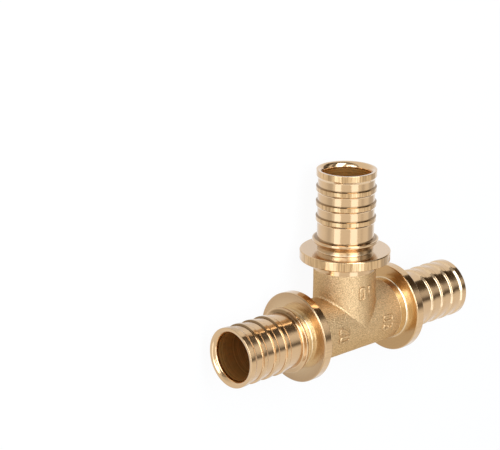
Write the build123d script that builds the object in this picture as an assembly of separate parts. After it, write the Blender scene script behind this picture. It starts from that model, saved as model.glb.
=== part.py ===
from build123d import *
import os

# Brass tee for cross-linked polyethylene pipe, in one piece.
# The body is cast or forged, then each arm is turned: a ribbed spigot, a stop bead, a neck, a flange and a collar.
# Frame: the axes of the three arms cross at the origin. The run lies on X, the branch points along +Y and Z is up.
# All three flanges have one radius, so the tee lies flat on their rims, flange_radius below the origin.

# From the crossing of the axes to the stop bead that the end of a pipe comes up to
run_stop = 29.25
branch_stop = 31.25

# How far a pipe goes on, from the mouth of a spigot to the stop bead
insertion = 24.75

# Waterway, drilled from each mouth to the middle, with a cone that leads in at the mouth
bore_radius = 8.35
mouth_radius = 9.6
mouth_depth = 1.6

# Spigot wall between the ribs, and the crests that the pipe is stretched over
land_radius = 10.0
crest_radius = 10.55

# Lip at the mouth: a crest with a slope behind it
lip_flat = 2.1
lip_slope = 0.8

# Ribs: a steep face towards the mouth, a broad flat crest, then a short slope
rib_count = 3
rib_start = 5.9
rib_pitch = 5.38
rib_face = 0.2
rib_flat = 1.5
rib_slope = 0.6

# Stop bead
bead_radius = 11.6
bead_face = 0.15
bead_flat = 0.9
bead_slope = 1.7

# Neck between the bead and the flange
neck_radius = 9.9

# Flange that a press tool holds, placed from the stop bead
flange_gap = 4.25
flange_thickness = 3.55
flange_radius = 16.0
flange_break = 0.3

# Turned collar behind the flange, a hair proud of the cast body
collar_radius = 11.05
collar_length = 3.2
collar_ease = 0.8

# Cast body. The branch is a hair slimmer than the run, which rounds the turn of the crotch line over each side.
body_radius = 11.0
branch_ease = 0.05
crotch_round = 0.5


def rib_outline(crest_start):
    """One rib, from the foot of its face to the foot of its slope, as (distance from the mouth, radius)."""
    crest_end = crest_start + rib_flat
    return [
        (crest_start - rib_face, land_radius),
        (crest_start, crest_radius),
        (crest_end, crest_radius),
        (crest_end + rib_slope, land_radius),
    ]


def spigot_outline():
    """The turned outside of a spigot, from the mouth's face to the foot of the bead."""
    points = [
        (0, crest_radius),
        (lip_flat, crest_radius),
        (lip_flat + lip_slope, land_radius),
    ]
    for rib in range(rib_count):
        points += rib_outline(rib_start + rib * rib_pitch)
    points.append((insertion - bead_face, land_radius))
    return points


def shoulder_outline(body):
    """Bead, neck, flange and collar, down to the cast body of the radius given."""
    bead_end = insertion + bead_flat
    flange_start = insertion + flange_gap
    flange_end = flange_start + flange_thickness
    collar_end = flange_end + collar_length
    return [
        (insertion, bead_radius),
        (bead_end, bead_radius),
        (bead_end + bead_slope, neck_radius),
        (flange_start, neck_radius),
        (flange_start, flange_radius - flange_break),
        (flange_start + flange_break, flange_radius),
        (flange_end - flange_break, flange_radius),
        (flange_end, flange_radius - flange_break),
        (flange_end, collar_radius + collar_ease),
        (flange_end + collar_ease, collar_radius),
        (collar_end, collar_radius),
        (collar_end, body),
    ]


def turned(outline, reach):
    """A solid turned about X from an outline of (distance from the mouth, radius), with its seam underneath."""
    section = [(reach - distance, 0, -radius) for distance, radius in outline]
    return revolve(make_face(Polyline(section, close=True)), Axis.X)


def arm(stop, body):
    """A solid arm along +X from the crossing to its mouth, with the cast body's radius given, before it is drilled."""
    reach = stop + insertion
    return turned([(0, 0)] + spigot_outline() + shoulder_outline(body) + [(reach, body), (reach, 0)], reach)


def drill(stop):
    """The waterway of one arm along +X: a bore from the crossing and the cone at its mouth."""
    reach = stop + insertion
    outline = [
        (0, 0),
        (0, mouth_radius),
        (mouth_depth, bore_radius),
        (reach, bore_radius),
        (reach, 0),
    ]
    return turned(outline, reach)


def crotch_edges(body):
    """The seam where the branch leaves the run, the only edge that is no line and no circle."""
    plain = (GeomType.LINE, GeomType.CIRCLE)
    return [e for e in body.edges() if e.geom_type not in plain]


def tee():
    """The three arms joined, the crotch rounded, and then the waterways drilled."""
    to_left = Rot(0, 0, 180)
    to_branch = Rot(0, 0, 90)
    run = arm(run_stop, body_radius) + to_left * arm(run_stop, body_radius)
    branch = to_branch * arm(branch_stop, body_radius - branch_ease)
    body = run + branch
    body = fillet(crotch_edges(body), crotch_round)
    body -= drill(run_stop) + to_left * drill(run_stop)
    body -= to_branch * drill(branch_stop)
    return body


os.makedirs("parts", exist_ok=True)
tee_body = tee()
tee_body.label = "tee_body"
export_step(tee_body, "parts/tee_body.step")
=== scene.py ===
import math

import bmesh
import bpy
from mathutils import Matrix, Vector, noise


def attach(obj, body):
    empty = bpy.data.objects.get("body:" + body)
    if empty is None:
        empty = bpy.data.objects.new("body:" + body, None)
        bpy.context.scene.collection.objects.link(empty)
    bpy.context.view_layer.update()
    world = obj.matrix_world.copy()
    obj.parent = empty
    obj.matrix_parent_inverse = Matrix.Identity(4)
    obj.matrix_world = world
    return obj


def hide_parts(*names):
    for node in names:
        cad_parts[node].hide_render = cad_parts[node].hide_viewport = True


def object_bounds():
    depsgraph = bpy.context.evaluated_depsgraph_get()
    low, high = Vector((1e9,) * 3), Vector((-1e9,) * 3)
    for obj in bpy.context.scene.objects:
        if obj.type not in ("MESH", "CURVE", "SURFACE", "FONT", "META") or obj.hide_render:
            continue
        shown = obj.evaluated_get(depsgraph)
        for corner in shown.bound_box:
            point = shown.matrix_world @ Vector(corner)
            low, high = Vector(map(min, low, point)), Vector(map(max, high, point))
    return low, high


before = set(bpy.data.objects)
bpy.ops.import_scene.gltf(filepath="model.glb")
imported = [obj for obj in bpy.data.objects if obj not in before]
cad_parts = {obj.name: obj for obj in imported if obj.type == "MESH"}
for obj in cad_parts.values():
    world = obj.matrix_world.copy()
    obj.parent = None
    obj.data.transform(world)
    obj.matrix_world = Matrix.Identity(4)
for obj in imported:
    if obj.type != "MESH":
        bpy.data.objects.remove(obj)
cad_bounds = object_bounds()
bpy.context.scene.view_settings.view_transform = "Standard"

# Camera
# It looks down on the tee lying on its flanges, turned so that the branch points up in the picture.
# The place and the lens come from a fit to the outline of the tee in the photograph.
camera_place = (-0.4367, 0.2277, 0.4231)
camera_right = Vector((0.7355, 0.0060, 0.6775))
camera_up = Vector((0.2004, 0.9533, -0.2260))
camera_data = bpy.data.cameras.new("camera")
camera_data.lens = 131.3
camera_data.sensor_width = 36.0
camera_data.clip_start = 0.01
camera = bpy.data.objects.new("camera", camera_data)
bpy.context.scene.collection.objects.link(camera)
camera_turn = Matrix((camera_right, camera_up, camera_right.cross(camera_up))).transposed()
camera.matrix_world = Matrix.Translation(camera_place) @ camera_turn.to_4x4()
bpy.context.scene.camera = camera

# Floor and studio
# A white sheet lies under the tee, and the room round it is white too, for the eye and for the brass.
# Soft lamps stand to its left, right and front, and a black back keeps the room from showing through each.
# Black cards hang round it and lie on the sheet, and only the brass mirrors them, as dark bands.
floor_level = cad_bounds[0][2]
floor_size = 3.0
sheet_grey = 0.85
share_seen = 0.93
share_mirrored = 0.85
room_light = 0.3
lamp_colour = (0.93, 1.04, 1.20)
lamp_distance = 0.60
lamp_back_gap = 0.005
lamp_back_edges = (0.02, 0.02)
card_black = (0.05, 0.034, 0.018, 1.0)
card_distance = 1.20
white = (1.0, 1.0, 1.0, 1.0)


class Wire:
    """A shader socket. Arithmetic on it adds Math nodes, and node() adds any other node to its tree."""

    def __init__(self, tree, socket=None):
        self.tree = tree
        self.socket = socket

    def node(self, kind, settings=None, inputs=None, output=0):
        """Adds a node, sets its settings and then its sockets, and gives back one of its outputs."""
        made = self.tree.nodes.new("ShaderNode" + kind)
        for name, value in (settings or {}).items():
            setattr(made, name, value)
        for name, value in (inputs or {}).items():
            if isinstance(value, Wire):
                self.tree.links.new(value.socket, made.inputs[name])
            else:
                made.inputs[name].default_value = value
        return Wire(self.tree, made.outputs[output] if made.outputs else None)

    def maths(self, operation, *values):
        """A Math node on these values, in their order."""
        return self.node("Math", {"operation": operation}, dict(enumerate(values)))

    def larger(self, other):
        """The larger of the two."""
        return self.maths("MAXIMUM", self, other)

    def __add__(self, other):
        return self.maths("ADD", self, other)

    def __radd__(self, other):
        return self.maths("ADD", other, self)

    def __sub__(self, other):
        return self.maths("SUBTRACT", self, other)

    def __rsub__(self, other):
        return self.maths("SUBTRACT", other, self)

    def __mul__(self, other):
        return self.maths("MULTIPLY", self, other)

    def __rmul__(self, other):
        return self.maths("MULTIPLY", other, self)

    def __truediv__(self, other):
        return self.maths("DIVIDE", self, other)

    def __rtruediv__(self, other):
        return self.maths("DIVIDE", other, self)

    def __mod__(self, other):
        return self.maths("FLOORED_MODULO", self, other)

    def __rmod__(self, other):
        return self.maths("FLOORED_MODULO", other, self)

    def __abs__(self):
        return self.maths("ABSOLUTE", self)


def fresh_material(name):
    """A new material with no nodes in it, as (material, the Wire that adds nodes to it)."""
    material = bpy.data.materials.new(name)
    material.use_nodes = True
    material.node_tree.nodes.clear()
    return material, Wire(material.node_tree)


def ray_kind(tree, kind):
    """1 for a light path of this kind and 0 for the others."""
    return tree.node("LightPath", None, None, kind)


def mirrored(tree):
    """1 for a ray that a mirror or glass sends."""
    return ray_kind(tree, "Is Glossy Ray").larger(ray_kind(tree, "Is Transmission Ray"))


def sheet_paint():
    """White paper that mostly shows and mirrors as plain white, with the tee's shadow faint on it."""
    paint, tree = fresh_material("white_sheet")
    lit = tree.node("BsdfDiffuse", None, {"Color": (sheet_grey, sheet_grey, sheet_grey, 1.0)})
    plain = tree.node("Emission", None, {"Color": white, "Strength": 1.0})
    plain_share = ray_kind(tree, "Is Camera Ray") * share_seen + mirrored(tree) * share_mirrored
    surface = tree.node("MixShader", None, {0: plain_share, 1: lit, 2: plain})
    tree.node("OutputMaterial", None, {"Surface": surface})
    return paint


def white_room():
    """A room that shows and mirrors as plain white, and lights the tee with only a share of that."""
    world = bpy.data.worlds.new("white_room")
    world.use_nodes = True
    world.node_tree.nodes.clear()
    tree = Wire(world.node_tree)
    seen = ray_kind(tree, "Is Camera Ray").larger(mirrored(tree))
    strength = seen * (1.0 - room_light) + room_light
    walls = tree.node("Background", None, {"Color": white, "Strength": strength})
    tree.node("OutputWorld", None, {"Surface": walls})
    return world


bpy.ops.mesh.primitive_plane_add(size=floor_size, location=(0, 0, floor_level))
floor = bpy.context.object
floor.name = "floor"
floor.data.materials.append(sheet_paint())
bpy.context.scene.world = white_room()

towards_camera = Vector((camera_place[0], 0, camera_place[2])).normalized()
towards_right = Vector((0, 1, 0)).cross(towards_camera)


def studio_place(turn, rise, distance):
    """A place in the studio, turned rightwards from the camera and risen along the branch, in degrees."""
    turn = math.radians(turn)
    rise = math.radians(rise)
    level = towards_camera * math.cos(turn) + towards_right * math.sin(turn)
    return (level * math.cos(rise) + Vector((0, math.sin(rise), 0))) * distance


def facing_tee(place, roll=0):
    """The placing of a lamp or card here that faces the tee, upright along the branch before its roll."""
    back = place.normalized()
    side = Vector((0, 1, 0)).cross(back).normalized()
    facing = Matrix((side, back.cross(side), back)).transposed().to_4x4()
    return Matrix.Translation(place) @ facing @ Matrix.Rotation(math.radians(roll), 4, "Z")


def card_paint(name, edges, cover):
    """Black that thins out over the soft edges of a card, with this cover in its middle."""
    paint, tree = fresh_material(name)
    over_card = tree.node("TexCoord", None, None, "Generated")
    covered = cover
    for axis, edge in enumerate(edges):
        across = tree.node("SeparateXYZ", None, {"Vector": over_card}, axis)
        margin = (0.5 - abs(across - 0.5)) / edge
        soft = margin.node("MapRange", {"interpolation_type": "SMOOTHSTEP"}, {"Value": margin})
        covered = soft * covered
    clear = tree.node("BsdfTransparent")
    black = tree.node("Emission", None, {"Color": card_black, "Strength": 1.0})
    surface = tree.node("MixShader", None, {0: covered, 1: clear, 2: black})
    tree.node("OutputMaterial", None, {"Surface": surface})
    return paint


def black_card(name, placing, size, edges, cover):
    """A black card that only the brass mirrors."""
    bpy.ops.mesh.primitive_plane_add(size=1.0)
    card = bpy.context.object
    card.name = name
    card.matrix_world = placing @ Matrix.Diagonal((*size, 1.0, 1.0))
    card.data.materials.append(card_paint(name, edges, cover))
    card.visible_camera = False
    card.visible_diffuse = False
    card.visible_shadow = False


def soft_lamp(name, turn, rise, size, radiance):
    """A soft lamp with a black back, of a power that makes it mirror at this radiance."""
    width, height = size
    lamp_data = bpy.data.lights.new(name, "AREA")
    lamp_data.shape = "RECTANGLE"
    lamp_data.size = width
    lamp_data.size_y = height
    lamp_data.energy = radiance * math.pi * width * height
    lamp_data.color = lamp_colour
    lamp = bpy.data.objects.new(name, lamp_data)
    bpy.context.scene.collection.objects.link(lamp)
    lamp.matrix_world = facing_tee(studio_place(turn, rise, lamp_distance))
    behind = facing_tee(studio_place(turn, rise, lamp_distance + lamp_back_gap))
    black_card(name + "_back", behind, size, lamp_back_edges, 1.0)


def hung_card(name, turn, rise, size, edges, cover, roll=0):
    """A black card that hangs in the studio beyond the lamps and faces the tee."""
    placing = facing_tee(studio_place(turn, rise, card_distance), roll)
    black_card(name, placing, size, edges, cover)


def laid_card(name, x, y, lift, size, edges, cover):
    """A black card that lies on the sheet, a hair above it."""
    black_card(name, Matrix.Translation((x, y, floor_level + lift)), size, edges, cover)


soft_lamp("lamp_left_high", turn=-36, rise=14, size=(0.32, 0.28), radiance=4.8)
soft_lamp("lamp_left_low", turn=-36, rise=-19, size=(0.32, 0.41), radiance=1.8)
soft_lamp("lamp_right_high", turn=36, rise=35, size=(0.32, 0.84), radiance=4.8)
soft_lamp("lamp_right_low", turn=34, rise=-19, size=(0.29, 0.41), radiance=1.8)
soft_lamp("lamp_middle", turn=-17, rise=33.5, size=(0.29, 0.18), radiance=3.8)
soft_lamp("lamp_front", turn=-1, rise=16.5, size=(0.084, 0.18), radiance=3.3)

hung_card("card_front", turn=-2, rise=34, size=(0.76, 1.30), edges=(0.20, 0.20), cover=0.30)
hung_card("card_left", turn=-101, rise=40, size=(2.20, 1.50), edges=(0.15, 0.15), cover=0.85)
hung_card("card_right", turn=69, rise=34, size=(0.50, 1.50), edges=(0.20, 0.15), cover=0.80)
hung_card("card_far", turn=124, rise=34, size=(1.20, 1.50), edges=(0.20, 0.15), cover=0.80)
hung_card("card_low", turn=94, rise=4, size=(2.08, 0.45), edges=(0.31, 0.50), cover=0.90, roll=29)
hung_card("card_high", turn=118.5, rise=43.5, size=(1.38, 0.28), edges=(0.45, 0.17), cover=0.96, roll=23)
hung_card("card_side", turn=124, rise=1, size=(2.00, 1.49), edges=(0.10, 0.20), cover=0.35, roll=-40)
hung_card("card_top", turn=0, rise=89, size=(2.20, 2.20), edges=(0.25, 0.25), cover=0.75)

laid_card("card_laid", -0.18, 0.19, lift=0.0005, size=(0.30, 0.30), edges=(0.12, 0.12), cover=0.75)
# card_shade and card_under are painted shade: they darken the sheet near the tee, as the brass mirrors it
laid_card("card_shade", -0.065, 0.038, lift=0.0002, size=(0.10, 0.08), edges=(0.3, 0.3), cover=0.28)
laid_card("card_under", 0.005, -0.036, lift=0.0003, size=(0.16, 0.06), edges=(0.15, 0.3), cover=0.20)

# Turned arms
# Each brass arm is turned bright: a spigot with a lip and three ribs, a bead, a neck, a flange, a collar.
# A pipe is stretched over the ribs, and a sleeve is pressed along it towards the flange. Sizes are in mm.
# The waterway is drilled from each mouth to the middle, with a rounded way in.
mm = 0.001
ring_segments = 192
arc_steps = 4
mouth_steps = 10
bore_steps = 6
weld_gap = 0.0008
arm_stops = {"run": 29.25, "branch": 31.25}
insertion = 24.75
bore_radius = 8.35
mouth_radius = 9.6
mouth_depth = 2.0
mouth_turn = math.radians(30)
land_radius = 10.0
crest_radius = 10.55
lip_flat = 2.1
lip_slope = 0.8
rib_start = 5.9
rib_pitch = 5.38
rib_starts = [rib_start + rib_pitch * rib for rib in range(3)]
rib_face = 0.2
rib_flat = 1.5
rib_slope = 0.6
bead_radius = 11.6
bead_face = 0.15
bead_flat = 0.9
bead_slope = 1.7
neck_radius = 9.9
flange_gap = 4.25
flange_thickness = 3.55
flange_start = insertion + flange_gap
flange_end = flange_start + flange_thickness
flange_radius = 16.0
flange_break = 0.3
collar_radius = 11.05
collar_length = 3.2
collar_end = flange_end + collar_length
body_radius = 11.0

# How far from a corner its rounding starts, from the cast body to the mouth
sharp = 0
collar_edge = 0.02
collar_foot = 0.8
flange_edge = 0.1
deep_foot = 0.35
slope_foot = 0.3
bead_edge = 0.2
rib_edge = 0.15
rib_foot_round = 0.08
lip_edge = 0.2
mouth_edge = 0.15
largest_side_share = 0.45


def rounded(corners):
    """A line of points through (distance, radius, rounding) corners, each turned to a small arc."""
    line = []
    for i, (distance, radius, rounding) in enumerate(corners):
        here = Vector((distance, radius))
        if rounding == sharp or i in (0, len(corners) - 1):
            line.append(here)
            continue
        back = Vector(corners[i - 1][:2]) - here
        on = Vector(corners[i + 1][:2]) - here
        leg = min(rounding, largest_side_share * back.length, largest_side_share * on.length)
        start = here + back.normalized() * leg
        end = here + on.normalized() * leg
        for step in range(arc_steps + 1):
            t = step / arc_steps
            line.append(start * (1 - t) ** 2 + here * 2 * t * (1 - t) + end * t * t)
    return line


def mouth_arc():
    """The rounded way into the bore, a quarter of an ellipse without its first mouth_turn."""
    depth_axis = mouth_depth / math.cos(mouth_turn)
    radius_axis = (mouth_radius - bore_radius) / (1 - math.sin(mouth_turn))
    arc = []
    for step in range(1, mouth_steps + 1):
        angle = mouth_turn + (math.pi / 2 - mouth_turn) * step / mouth_steps
        depth = mouth_depth - depth_axis * math.cos(angle)
        arc.append(Vector((depth, bore_radius + radius_axis * (1 - math.sin(angle)))))
    return arc


def arm_line():
    """The outside and mouth of an arm as (distance from the mouth, radius), from the body to the bore."""
    corners = [
        (collar_end, body_radius, sharp),
        (collar_end, collar_radius, collar_edge),
        (flange_end, collar_radius, collar_foot),
        (flange_end, flange_radius - flange_break, flange_edge),
        (flange_end - flange_break, flange_radius, flange_edge),
        (flange_start + flange_break, flange_radius, flange_edge),
        (flange_start, flange_radius - flange_break, flange_edge),
        (flange_start, neck_radius, deep_foot),
        (insertion + bead_flat + bead_slope, neck_radius, slope_foot),
        (insertion + bead_flat, bead_radius, bead_edge),
        (insertion, bead_radius, bead_edge),
        (insertion - bead_face, land_radius, deep_foot),
    ]
    for start in reversed(rib_starts):
        corners += [
            (start + rib_flat + rib_slope, land_radius, slope_foot),
            (start + rib_flat, crest_radius, rib_edge),
            (start, crest_radius, sharp),
            (start - rib_face, land_radius, rib_foot_round),
        ]
    corners += [
        (lip_flat + lip_slope, land_radius, slope_foot),
        (lip_flat, crest_radius, lip_edge),
        (0, crest_radius, mouth_edge),
        (0, mouth_radius, sharp),
    ]
    return rounded(corners) + mouth_arc()


class Skin:
    """The faces of the tee, gathered patch by patch, with the number of each face's finish."""

    def __init__(self):
        self.points = []
        self.faces = []
        self.finishes = []

    def patch(self, rows, finish, flip=False):
        """Adds a grid of quads through rows of equally many points. Flip turns its outside round."""
        first = len(self.points)
        width = len(rows[0])
        for row in rows:
            self.points += row
        for i in range(len(rows) - 1):
            for j in range(width - 1):
                a = first + i * width + j
                quad = (a, a + width, a + width + 1, a + 1)
                self.faces.append(quad[::-1] if flip else quad)
                self.finishes.append(finish)

    def mesh(self, name, sharp_degrees):
        """One mesh of all the patches, welded along their borders, with its sharp edges marked."""
        mesh = bpy.data.meshes.new(name)
        mesh.from_pydata([p * mm for p in self.points], [], self.faces)
        mesh.polygons.foreach_set("material_index", self.finishes)
        work = bmesh.new()
        work.from_mesh(mesh)
        bmesh.ops.remove_doubles(work, verts=work.verts, dist=weld_gap * mm)
        bmesh.ops.dissolve_degenerate(work, edges=work.edges, dist=weld_gap * mm)
        limit = math.radians(sharp_degrees)
        for face in work.faces:
            face.smooth = True
        for edge in work.edges:
            edge.smooth = len(edge.link_faces) != 2 or edge.calc_face_angle() < limit
        work.to_mesh(mesh)
        work.free()
        return mesh


def along(arm, t, across, height):
    """A point t from the crossing along an arm, across it in the plane of the axes, and height up."""
    if arm == "branch":
        return Vector((across, t, height))
    side = 1 if arm == "right" else -1
    return Vector((side * t, across, height))


def turned_rows(arm, reach, line):
    """Rows round an arm, one for each ring angle, of the points of a line of (distance, radius)."""
    rows = []
    for k in range(ring_segments + 1):
        angle = 2 * math.pi * k / ring_segments
        c, s = math.cos(angle), math.sin(angle)
        rows.append([along(arm, reach - d, r * c, r * s) for d, r in line])
    return rows


def bore_rows(arm, reach, start):
    """Rows of the straight bore, from a distance behind the mouth to where it meets the other bores."""
    rows = []
    for k in range(ring_segments + 1):
        angle = 2 * math.pi * k / ring_segments
        across = bore_radius * math.cos(angle)
        height = bore_radius * math.sin(angle)
        inner = abs(across) if arm == "branch" else max(across, 0.0)
        outer = reach - start
        row = []
        for step in range(bore_steps + 1):
            row.append(along(arm, outer + (inner - outer) * step / bore_steps, across, height))
        rows.append(row)
    return rows


turned, cast, drilled = 0, 1, 2
skin = Skin()
outline = arm_line()
for arm in ("right", "left", "branch"):
    reach = insertion + arm_stops["branch" if arm == "branch" else "run"]
    flip = arm != "right"
    skin.patch(turned_rows(arm, reach, outline), turned, flip)
    skin.patch(bore_rows(arm, reach, mouth_depth), drilled, flip)


def in_millimetres(tree):
    """The place of a point on the tee, in mm, as a vector."""
    in_metres = tree.node("TexCoord", None, None, "Object")
    return tree.node("VectorMath", {"operation": "SCALE"}, {0: in_metres, "Scale": 1000.0})


def split(place):
    """The x, y and z of a vector."""
    return [place.node("SeparateXYZ", None, {"Vector": place}, axis) for axis in range(3)]


def mixed(share, first, second):
    """A colour from the first to the second, as the share goes from 0 to 1."""
    first, second = [c if isinstance(c, Wire) else (*c, 1.0) for c in (first, second)]
    # The Mix node's colours are its inputs 6 and 7 and its output 2
    return share.node("Mix", {"data_type": "RGBA"}, {0: share, 6: first, 7: second}, 2)


def ramp(value, start, end):
    """0 below start, 1 above end and an even slope between them."""
    return value.node("MapRange", None, {"Value": value, "From Min": start, "From Max": end})


def band(value, start, end, edge):
    """1 from start to end, with a slope of the width of the edge just outside them."""
    return ramp(value, start - edge, start) * (1.0 - ramp(value, end, end + edge))


# Turned brass, coloured by where a point lies on its arm
turned_brass, tree = fresh_material("turned_brass")
place = in_millimetres(tree)
x, y, z = split(place)
on_branch = y.maths("GREATER_THAN", y, abs(x))
on_run = 1.0 - on_branch
along_arm = abs(x).larger(y)
from_axis = x.maths("SQRT", x * x + y * y + z * z - along_arm * along_arm)
run_reach = insertion + arm_stops["run"]
from_mouth = run_reach + (arm_stops["branch"] - arm_stops["run"]) * on_branch - along_arm
neck_start = insertion + bead_flat + bead_slope

# Plain metal: fine grooves round each arm from the lathe, and a faint stain
plain_fresh = (0.66, 0.437, 0.232)
plain_stained = (0.61, 0.40, 0.205)
groove_depth = 0.000008
lathe_path = tree.node("CombineXYZ", None, {"X": along_arm, "Y": from_axis})
groove_look = {"Vector": lathe_path, "Scale": 3.0, "Detail": 3.0}
grooves = tree.node("TexNoise", {"noise_dimensions": "2D"}, groove_look)
groove_bump = tree.node("Bump", None, {"Strength": 1.0, "Distance": groove_depth, "Height": grooves})
stain = tree.node("TexNoise", None, {"Vector": place, "Scale": 0.12, "Detail": 4.0})
plain_colour = mixed(stain, plain_fresh, plain_stained)

# Crests and rims: short marks along the arm, strong on the branch and faint on the run
mark_dark = (0.50, 0.31, 0.135)
mark_light = (0.74, 0.48, 0.235)
mark_stretch = 0.96
run_share = 0.25
on_spigot = 1.0 - ramp(from_mouth, insertion - 1.75, insertion - 0.75)
on_crest = ramp(from_axis, crest_radius - 0.2, crest_radius - 0.05) * on_spigot
on_rim = ramp(from_axis, flange_radius - 0.3, flange_radius - 0.1)
keep_x = (1.0 - mark_stretch) + mark_stretch * on_branch
keep_y = 1.0 - mark_stretch * on_branch
keep = tree.node("CombineXYZ", None, {"X": keep_x, "Y": keep_y, "Z": 1.0})
mark_place = tree.node("VectorMath", {"operation": "MULTIPLY"}, {0: place, 1: keep})
marks = tree.node("TexNoise", None, {"Vector": mark_place, "Scale": 2.4, "Detail": 1.0})
mark_colour = mixed(ramp(marks, 0.38, 0.62), mark_dark, mark_light)
mark_share = (on_crest + on_rim) * (run_share + (1.0 - run_share) * on_branch)
rubbed_colour = mixed(mark_share, plain_colour, mark_colour)

# The faces of the run's flanges are browner than its spigots, and the necks and its collars more golden:
# painted reflection and shade
# Front faces: painted reflection, golden near the neck where they mirror the brass, browner towards the
# rim
face_inner = (0.63, 0.435, 0.235)
face_outer = (0.53, 0.34, 0.17)
# Back faces: painted shade, of the shadowed sheet that they mirror
back_face_shade = (0.57, 0.34, 0.135)
# Necks and collars: a painted golden reflection of the brass round them
gold_reflection = (0.88, 0.77, 0.55)
branch_gold_reflection_share = 0.45
front_face = band(from_mouth, flange_start - 0.05, flange_start + 0.2, 0.05) * on_run
back_face = ramp(from_mouth, flange_end - 0.1, flange_end) * on_run
neck = band(from_mouth, neck_start, flange_start - 0.3, 0.2)
collar = ramp(from_mouth, flange_end + 0.1, flange_end + 0.4) * on_run
front_colour = mixed(ramp(from_axis, body_radius + 0.5, flange_radius - 1.0), face_inner, face_outer)
faced_colour = mixed(front_face, rubbed_colour, front_colour)
back_shade_colour = mixed(back_face, faced_colour, back_face_shade)
neck_share = neck * (1.0 - (1.0 - branch_gold_reflection_share) * on_branch)
gold_reflection_colour = mixed(neck_share.larger(collar), back_shade_colour, gold_reflection)

# Backs of the lip, the ribs and the run's beads, painted paler: a painted highlight on the slopes
rib_back_highlight = (0.77, 0.56, 0.34)
rib_back_highlight_share = 0.6
bead_back_highlight = (0.93, 0.84, 0.66)
rib_foot = rib_start - rib_face
rib_top_end = rib_face + rib_flat
among_ribs = band(from_mouth, rib_foot - 1.0, rib_starts[2] + 3.0, 0.5)
past_foot = (from_mouth - rib_foot + 0.5 * rib_pitch) % rib_pitch - 0.5 * rib_pitch
rib_back = band(past_foot, rib_top_end + 0.1, rib_top_end + rib_slope + 0.1, 0.1) * among_ribs
lip_back = band(from_mouth, lip_flat + 0.1, lip_flat + lip_slope + 0.1, 0.1)
off_bead_top = 1.0 - ramp(from_axis, bead_radius - 0.3, bead_radius)
bead_back = band(from_mouth, insertion + bead_flat, neck_start, 0.2) * off_bead_top * on_run
rib_back_colour = mixed((rib_back + lip_back) * rib_back_highlight_share, gold_reflection_colour, rib_back_highlight)
highlit_colour = mixed(bead_back, rib_back_colour, bead_back_highlight)

# Painted shade in corners: rib and bead feet, on the run only on the branch's side, and the branch's neck
crease_shade = (0.12, 0.065, 0.025)
crease_shade_share = 0.65
neck_shade = 0.35
rib_corner = (1.0 - ramp(abs(past_foot), 0.15, 0.4)) * among_ribs
below_bead_top = 1.0 - ramp(from_axis, bead_radius - 0.8, bead_radius - 0.3)
bead_corner = band(from_mouth, insertion - 0.35, insertion - 0.05, 0.25) * below_bead_top
branch_neck = band(from_mouth, neck_start - 1.0, flange_start - 0.2, 0.2) * on_branch
upper_side = on_branch.larger(ramp(y, land_radius - 3.0, land_radius - 1.0))
corner = (rib_corner + bead_corner) * upper_side + neck_shade * branch_neck
turned_colour = mixed(corner * crease_shade_share, highlit_colour, crease_shade)
turned_sockets = {
    "Base Color": turned_colour,
    "Metallic": 1.0 - 0.13 * (rib_back + lip_back),
    "Roughness": 0.13 + 0.15 * branch_neck + 0.10 * (neck * on_run + front_face + back_face),
    "Normal": groove_bump,
    "Coat Weight": 0.8 * (1.0 - corner),
    "Coat Roughness": 0.12,
}
tree.node("OutputMaterial", None, {"Surface": tree.node("BsdfPrincipled", None, turned_sockets)})

# Drilled brass: rings of the drill's feed along each bore, dull and brown
drilled_dark = (0.60, 0.305, 0.07)
drilled_light = (0.78, 0.445, 0.135)
drilled_brass, tree = fresh_material("drilled_brass")
x, y, z = split(in_millimetres(tree))
depth = abs(x).larger(y)
feed_marks = tree.node("TexNoise", {"noise_dimensions": "1D"}, {"W": depth, "Scale": 1.6, "Detail": 3.0})
drilled_colour = mixed(ramp(feed_marks, 0.35, 0.65), drilled_dark, drilled_light)
drilled_sockets = {"Base Color": drilled_colour, "Metallic": 0.85, "Roughness": 0.3}
tree.node("OutputMaterial", None, {"Surface": tree.node("BsdfPrincipled", None, drilled_sockets)})

# Cast body
# The middle of the tee is left as cast: two equal brass tubes that meet square, with a rounded crotch.
# Its skin is matt, slightly uneven and finely grained from the mould. The arms are one piece with it.
body_steps = 32
round_steps = 6
crotch_round = 0.8
run_end = arm_stops["run"] + insertion - collar_end
branch_end = arm_stops["branch"] + insertion - collar_end
even_margin = 1.5
broad_swell, broad_pitch = 0.05, 4.5
fine_swell, fine_pitch = 0.02, 1.6
fine_offset = Vector((7, 3, 5))


def body_line(angle):
    """A line over the body at one angle of the run: from the right collar in, round the crotch and up."""
    w = body_radius * math.cos(angle)
    height = body_radius * math.sin(angle)
    leg = crotch_round * w / body_radius
    line = []
    for step in range(body_steps + 1):
        line.append(Vector((run_end + (w + leg - run_end) * step / body_steps, w, height)))
    for step in range(1, round_steps + 1):
        t = math.pi / 2 * step / round_steps
        line.append(Vector((w + leg - leg * math.sin(t), w + leg - leg * math.cos(t), height)))
    for step in range(1, body_steps + 1):
        line.append(Vector((w, w + leg + (branch_end - w - leg) * step / body_steps, height)))
    return line


def under_line(angle):
    """A line along the underside of the run, from the right collar to the left one."""
    w = body_radius * math.cos(angle)
    height = body_radius * math.sin(angle)
    return [Vector((run_end * (1 - step / body_steps), w, height)) for step in range(2 * body_steps + 1)]


def uneven(point, outward):
    """The point moved in or out a little, as a cast skin is, and left alone near the turned collars."""
    to_collar = run_end - abs(point.x)
    if point.y > 0:
        to_collar = min(to_collar, branch_end - point.y)
    fade = max(0.0, min(1.0, to_collar / even_margin))
    swell = noise.noise(point / broad_pitch) * broad_swell
    swell += noise.noise(point / fine_pitch + fine_offset) * fine_swell
    return point + outward * (fade * swell)


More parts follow.
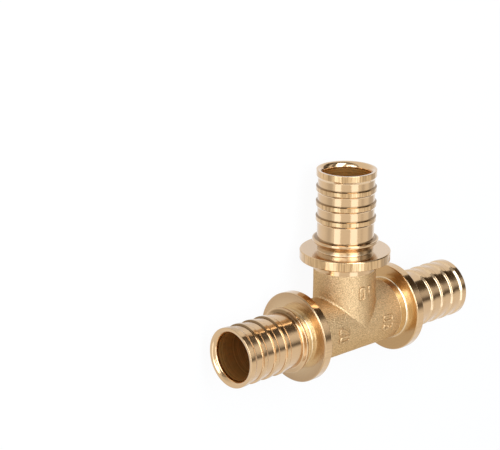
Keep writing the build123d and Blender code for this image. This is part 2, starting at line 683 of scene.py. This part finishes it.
def body_row(line):
    """The line made uneven, outward from the branch's axis above the crotch and from the run's below."""
    row = []
    for point in line:
        if point.y > abs(point.x):
            outward = Vector((point.x, 0, point.z)).normalized()
        else:
            outward = Vector((0, point.y, point.z)).normalized()
        row.append(uneven(point, outward))
    return row


def mirror_image(line):
    """The line on the other side of the branch."""
    return [Vector((-p.x, p.y, p.z)) for p in line]


quarter = ring_segments // 4
upper = [2 * math.pi * k / ring_segments for k in range(-quarter, quarter + 1)]
lower = [2 * math.pi * k / ring_segments for k in range(quarter, 3 * quarter + 1)]
skin.patch([body_row(body_line(angle)) for angle in upper], cast)
skin.patch([body_row(mirror_image(body_line(angle))) for angle in upper], cast, flip=True)
skin.patch([body_row(under_line(angle)) for angle in lower], cast)

# Cast brass: a matt grain, its high flecks paler
grain_dark = (0.44, 0.285, 0.14)
grain_light = (0.77, 0.535, 0.285)
grain_height = 0.00022
cast_brass, tree = fresh_material("cast_brass")
grain_look = {"Vector": in_millimetres(tree), "Scale": 3.1, "Detail": 1.0, "Roughness": 0.6}
grain = tree.node("TexNoise", None, grain_look)
cast_sockets = {
    "Base Color": mixed(ramp(grain, 0.38, 0.62), grain_dark, grain_light),
    "Metallic": 1.0,
    "Roughness": 0.42,
    "Specular Tint": (0.75, 0.62, 0.45, 1.0),
    "Normal": tree.node("Bump", None, {"Strength": 1.0, "Distance": grain_height, "Height": grain}),
}
tree.node("OutputMaterial", None, {"Surface": tree.node("BsdfPrincipled", None, cast_sockets)})

tee_mesh = skin.mesh("tee", sharp_degrees=50)
for material in (turned_brass, cast_brass, drilled_brass):
    tee_mesh.materials.append(material)
tee = bpy.data.objects.new("tee", tee_mesh)
bpy.context.scene.collection.objects.link(tee)
weighting = tee.modifiers.new("weighted normals", "WEIGHTED_NORMAL")
weighting.keep_sharp = True
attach(tee, "root")
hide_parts("tee_body")

# Raised numbers
# Each port of the casting carries a plain two-figure number, raised a little from its skin.
# The figures are cut in the mould, so they come out with soft round edges and the body's own finish.
figure_width = 2.1
figure_height = 4.2
figure_gap = 0.9
stroke_half = 0.50
stroke_rise = 0.46
stroke_sides = 10
stroke_tip = 0.55

# Each stroke as (share of the width, share of the height, rounding in mm) corners
figures = {
    "0": [[(0.5, 0, 0), (0.95, 0, 1.2), (0.95, 1, 1.2), (0.05, 1, 1.2), (0.05, 0, 1.2), (0.5, 0, 0)]],
    "1": [[(0.15, 0.76, 0), (0.58, 1, 0.1), (0.58, 0, 0)]],
    "2": [
        [(0.08, 0.72, 0), (0.1, 1, 1.0), (0.95, 1, 1.0), (0.95, 0.58, 0.9), (0.02, 0, 0.1), (1, 0, 0)],
    ],
    "3": [
        [(0.08, 0.9, 0), (0.3, 1, 0.7), (0.95, 1, 1.0), (0.95, 0.54, 0.9), (0.35, 0.54, 0.05)],
        [(0.4, 0.54, 0), (0.98, 0.54, 0.9), (0.98, 0, 1.0), (0.3, 0, 0.7), (0.03, 0.12, 0)],
    ],
}


def figure_lines(figure):
    """The strokes of a figure as lines of points in mm, from its lower left corner."""
    lines = []
    for stroke in figures[figure]:
        lines.append(rounded([(u * figure_width, v * figure_height, turn) for u, v, turn in stroke]))
    return lines


def raised_stroke(work, line, on_skin):
    """A bead of metal along a line, half sunk in the skin, that thins out at both of its ends."""
    rings = []
    for i, point in enumerate(line):
        ahead = line[min(i + 1, len(line) - 1)] - line[max(i - 1, 0)]
        side = Vector((ahead.y, -ahead.x)).normalized()
        size = stroke_tip if i in (0, len(line) - 1) else 1.0
        ring = []
        for k in range(stroke_sides):
            turn = 2 * math.pi * k / stroke_sides
            spot = point + side * (stroke_half * size * math.cos(turn))
            ring.append(work.verts.new(on_skin(spot, stroke_rise * size * math.sin(turn)) * mm))
        rings.append(ring)
    for back, front in zip(rings, rings[1:]):
        for k in range(stroke_sides):
            work.faces.new((back[k], back[k - 1], front[k - 1], front[k]))
    work.faces.new(rings[0])
    work.faces.new(rings[-1][::-1])


def port_number(name, number, arm, centre, turn_degrees):
    """A number on the upper side of an arm, its figures upright towards the mouth, as an object."""
    rightward = -1 if arm == "right" else 1
    whole_width = len(number) * figure_width + (len(number) - 1) * figure_gap

    def on_skin(spot, rise):
        """The point of the arm's skin at a spot of the number, risen from it."""
        angle = rightward * spot.x / body_radius + math.radians(turn_degrees)
        radius = body_radius + rise
        return along(arm, centre + spot.y, radius * math.sin(angle), radius * math.cos(angle))

    work = bmesh.new()
    for i, figure in enumerate(number):
        corner = Vector((i * (figure_width + figure_gap) - whole_width / 2, -figure_height / 2))
        for line in figure_lines(figure):
            raised_stroke(work, [corner + point for point in line], on_skin)
    bmesh.ops.recalc_face_normals(work, faces=work.faces)
    for face in work.faces:
        face.smooth = True
    mesh = bpy.data.meshes.new(name)
    work.to_mesh(mesh)
    work.free()
    mesh.materials.append(cast_brass)
    marks = bpy.data.objects.new(name, mesh)
    bpy.context.scene.collection.objects.link(marks)
    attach(marks, "root")


port_number("number_branch", "01", arm="branch", centre=13.4, turn_degrees=-2)
port_number("number_left", "02", arm="left", centre=10.5, turn_degrees=0)
port_number("number_right", "03", arm="right", centre=11.5, turn_degrees=-2)
